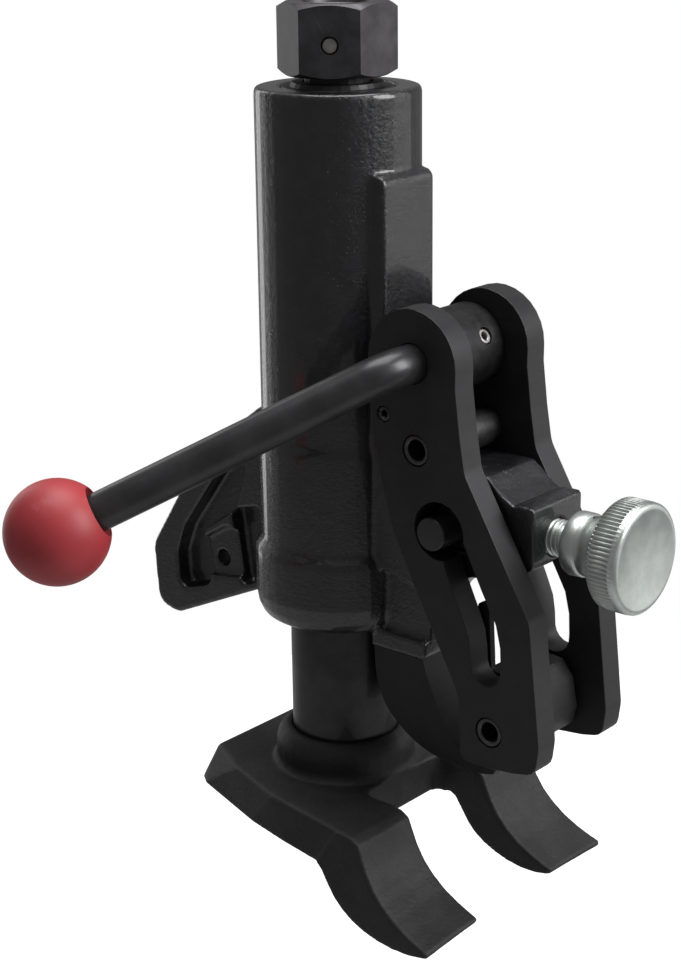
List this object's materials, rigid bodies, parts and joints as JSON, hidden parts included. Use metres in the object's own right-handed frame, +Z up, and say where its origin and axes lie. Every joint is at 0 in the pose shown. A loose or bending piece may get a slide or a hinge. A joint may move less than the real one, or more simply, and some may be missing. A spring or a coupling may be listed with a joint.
{
  "type": "bead breaker",
  "caption": "Screw-driven tyre bead breaker: barrel with hex drive, forked foot on a ram, and a lever-operated rim clamp with a hook.",
  "frame": {"origin": "middle of the rim clamp's mouth, between the hook and the jaw face, on the centre plane", "axes": "+Z up along the barrel, +X to the front where the prongs and thumb screw point, +Y away from the lever side"},
  "size_m": [0.2318, 0.1946, 0.3321],
  "materials": {
    "casting_paint": "gloss black paint over sand casting",
    "plate_black": "satin black over machined steel plate",
    "foot_black": "matte blackened forging",
    "dark_steel": "dark oxide on turned steel",
    "ground_steel": "ground steel",
    "zinc_plate": "bright zinc plate",
    "bearing_bronze": "turned bronze",
    "seal_rubber": "moulded black",
    "red_grip": "moulded red, matte"
  },
  "bodies": {
    "frame_body": {"housing": "casting_paint", "bearing_cap": "dark_steel", "neck_bush": "bearing_bronze", "thrust_race_upper": "ground_steel", "guide_bush": "bearing_bronze", "wiper_seal": "seal_rubber", "ram_key": "dark_steel", "rim_hook": "plate_black", "hook_dowel_lower": "ground_steel", "hook_dowel_upper": "ground_steel"},
    "ram_body": {"ram": "dark_steel", "ram_nut": "bearing_bronze", "nut_grub_near": "dark_steel", "nut_grub_far": "dark_steel", "foot": "foot_black", "foot_set_screw": "dark_steel"},
    "screw_body": {"drive_screw": "dark_steel", "hex_head": "dark_steel", "hex_pin": "ground_steel", "thrust_race_lower": "ground_steel"},
    "cage_body": {"thrust_cage": "bearing_bronze", "thrust_ball_1": "ground_steel", "thrust_ball_2": "ground_steel", "thrust_ball_3": "ground_steel", "thrust_ball_4": "ground_steel", "thrust_ball_5": "ground_steel", "thrust_ball_6": "ground_steel", "thrust_ball_7": "ground_steel", "thrust_ball_8": "ground_steel"},
    "trunnion_body": {"trunnion_slide": "ground_steel", "trunnion_pin": "ground_steel", "trunnion_grub": "dark_steel"},
    "thumb_body": {"thumb_screw": "zinc_plate", "thumb_knob": "zinc_plate", "thumb_pin": "ground_steel"},
    "plates_body": {"side_plate_near": "plate_black", "side_plate_far": "plate_black", "upper_cross_pin": "ground_steel", "stop_pin": "ground_steel", "lower_cross_pin": "ground_steel", "spacer_sleeve": "ground_steel"},
    "lever_body": {"eccentric_cam": "ground_steel", "cam_pin": "ground_steel", "lever_rod": "dark_steel", "shaft_clip": "ground_steel", "ball_knob": "red_grip", "knob_insert": "bearing_bronze"},
    "jaw_body": {"clamp_jaw": "plate_black", "jaw_washer_near": "ground_steel", "jaw_washer_far": "ground_steel"}
  },
  "joints": [
    {"name": "ram_slide", "type": "slide", "parent": "frame_body", "child": "ram_body", "axis": [0, 0, -1], "range_m": [0, 0.095]},
    {"name": "screw_turn", "type": "hinge", "parent": "frame_body", "child": "screw_body", "pos_m": [-0.064, 0, 0.22], "axis": [0, 0, 1], "range_deg": [0, 4276]},
    {"name": "cage_turn", "type": "hinge", "parent": "frame_body", "child": "cage_body", "pos_m": [-0.064, 0, 0.22], "axis": [0, 0, 1], "range_deg": [0, 2138]},
    {"name": "trunnion_travel", "type": "slide", "parent": "frame_body", "child": "trunnion_body", "axis": [1, 0, 0], "range_m": [0, 0.005]},
    {"name": "thumb_turn", "type": "hinge", "parent": "trunnion_body", "child": "thumb_body", "pos_m": [-0.0007, 0, 0.073], "axis": [1, 0, 0], "range_deg": [0, 901]},
    {"name": "plate_swing", "type": "hinge", "parent": "trunnion_body", "child": "plates_body", "pos_m": [-0.0007, 0, 0.073], "axis": [0, -1, 0], "range_deg": [0, 3.82]},
    {"name": "lever_turn", "type": "hinge", "parent": "plates_body", "child": "lever_body", "pos_m": [-0.0091, 0, 0.1343], "axis": [0, 1, 0], "range_deg": [0, 136.8]},
    {"name": "jaw_pivot", "type": "hinge", "parent": "plates_body", "child": "jaw_body", "pos_m": [0.0261, 0, 0.0041], "axis": [0, 1, 0], "range_deg": [-8, 8]}
  ],
  "couplings": [
    {"joint": "screw_turn", "follows": "ram_slide", "rad_per_m": 785.4},
    {"joint": "cage_turn", "follows": "ram_slide", "rad_per_m": 392.7},
    {"joint": "thumb_turn", "follows": "trunnion_travel", "rad_per_m": 3141.6},
    {"joint": "plate_swing", "follows": "lever_turn", "ratio": 0.027778}
  ]
}
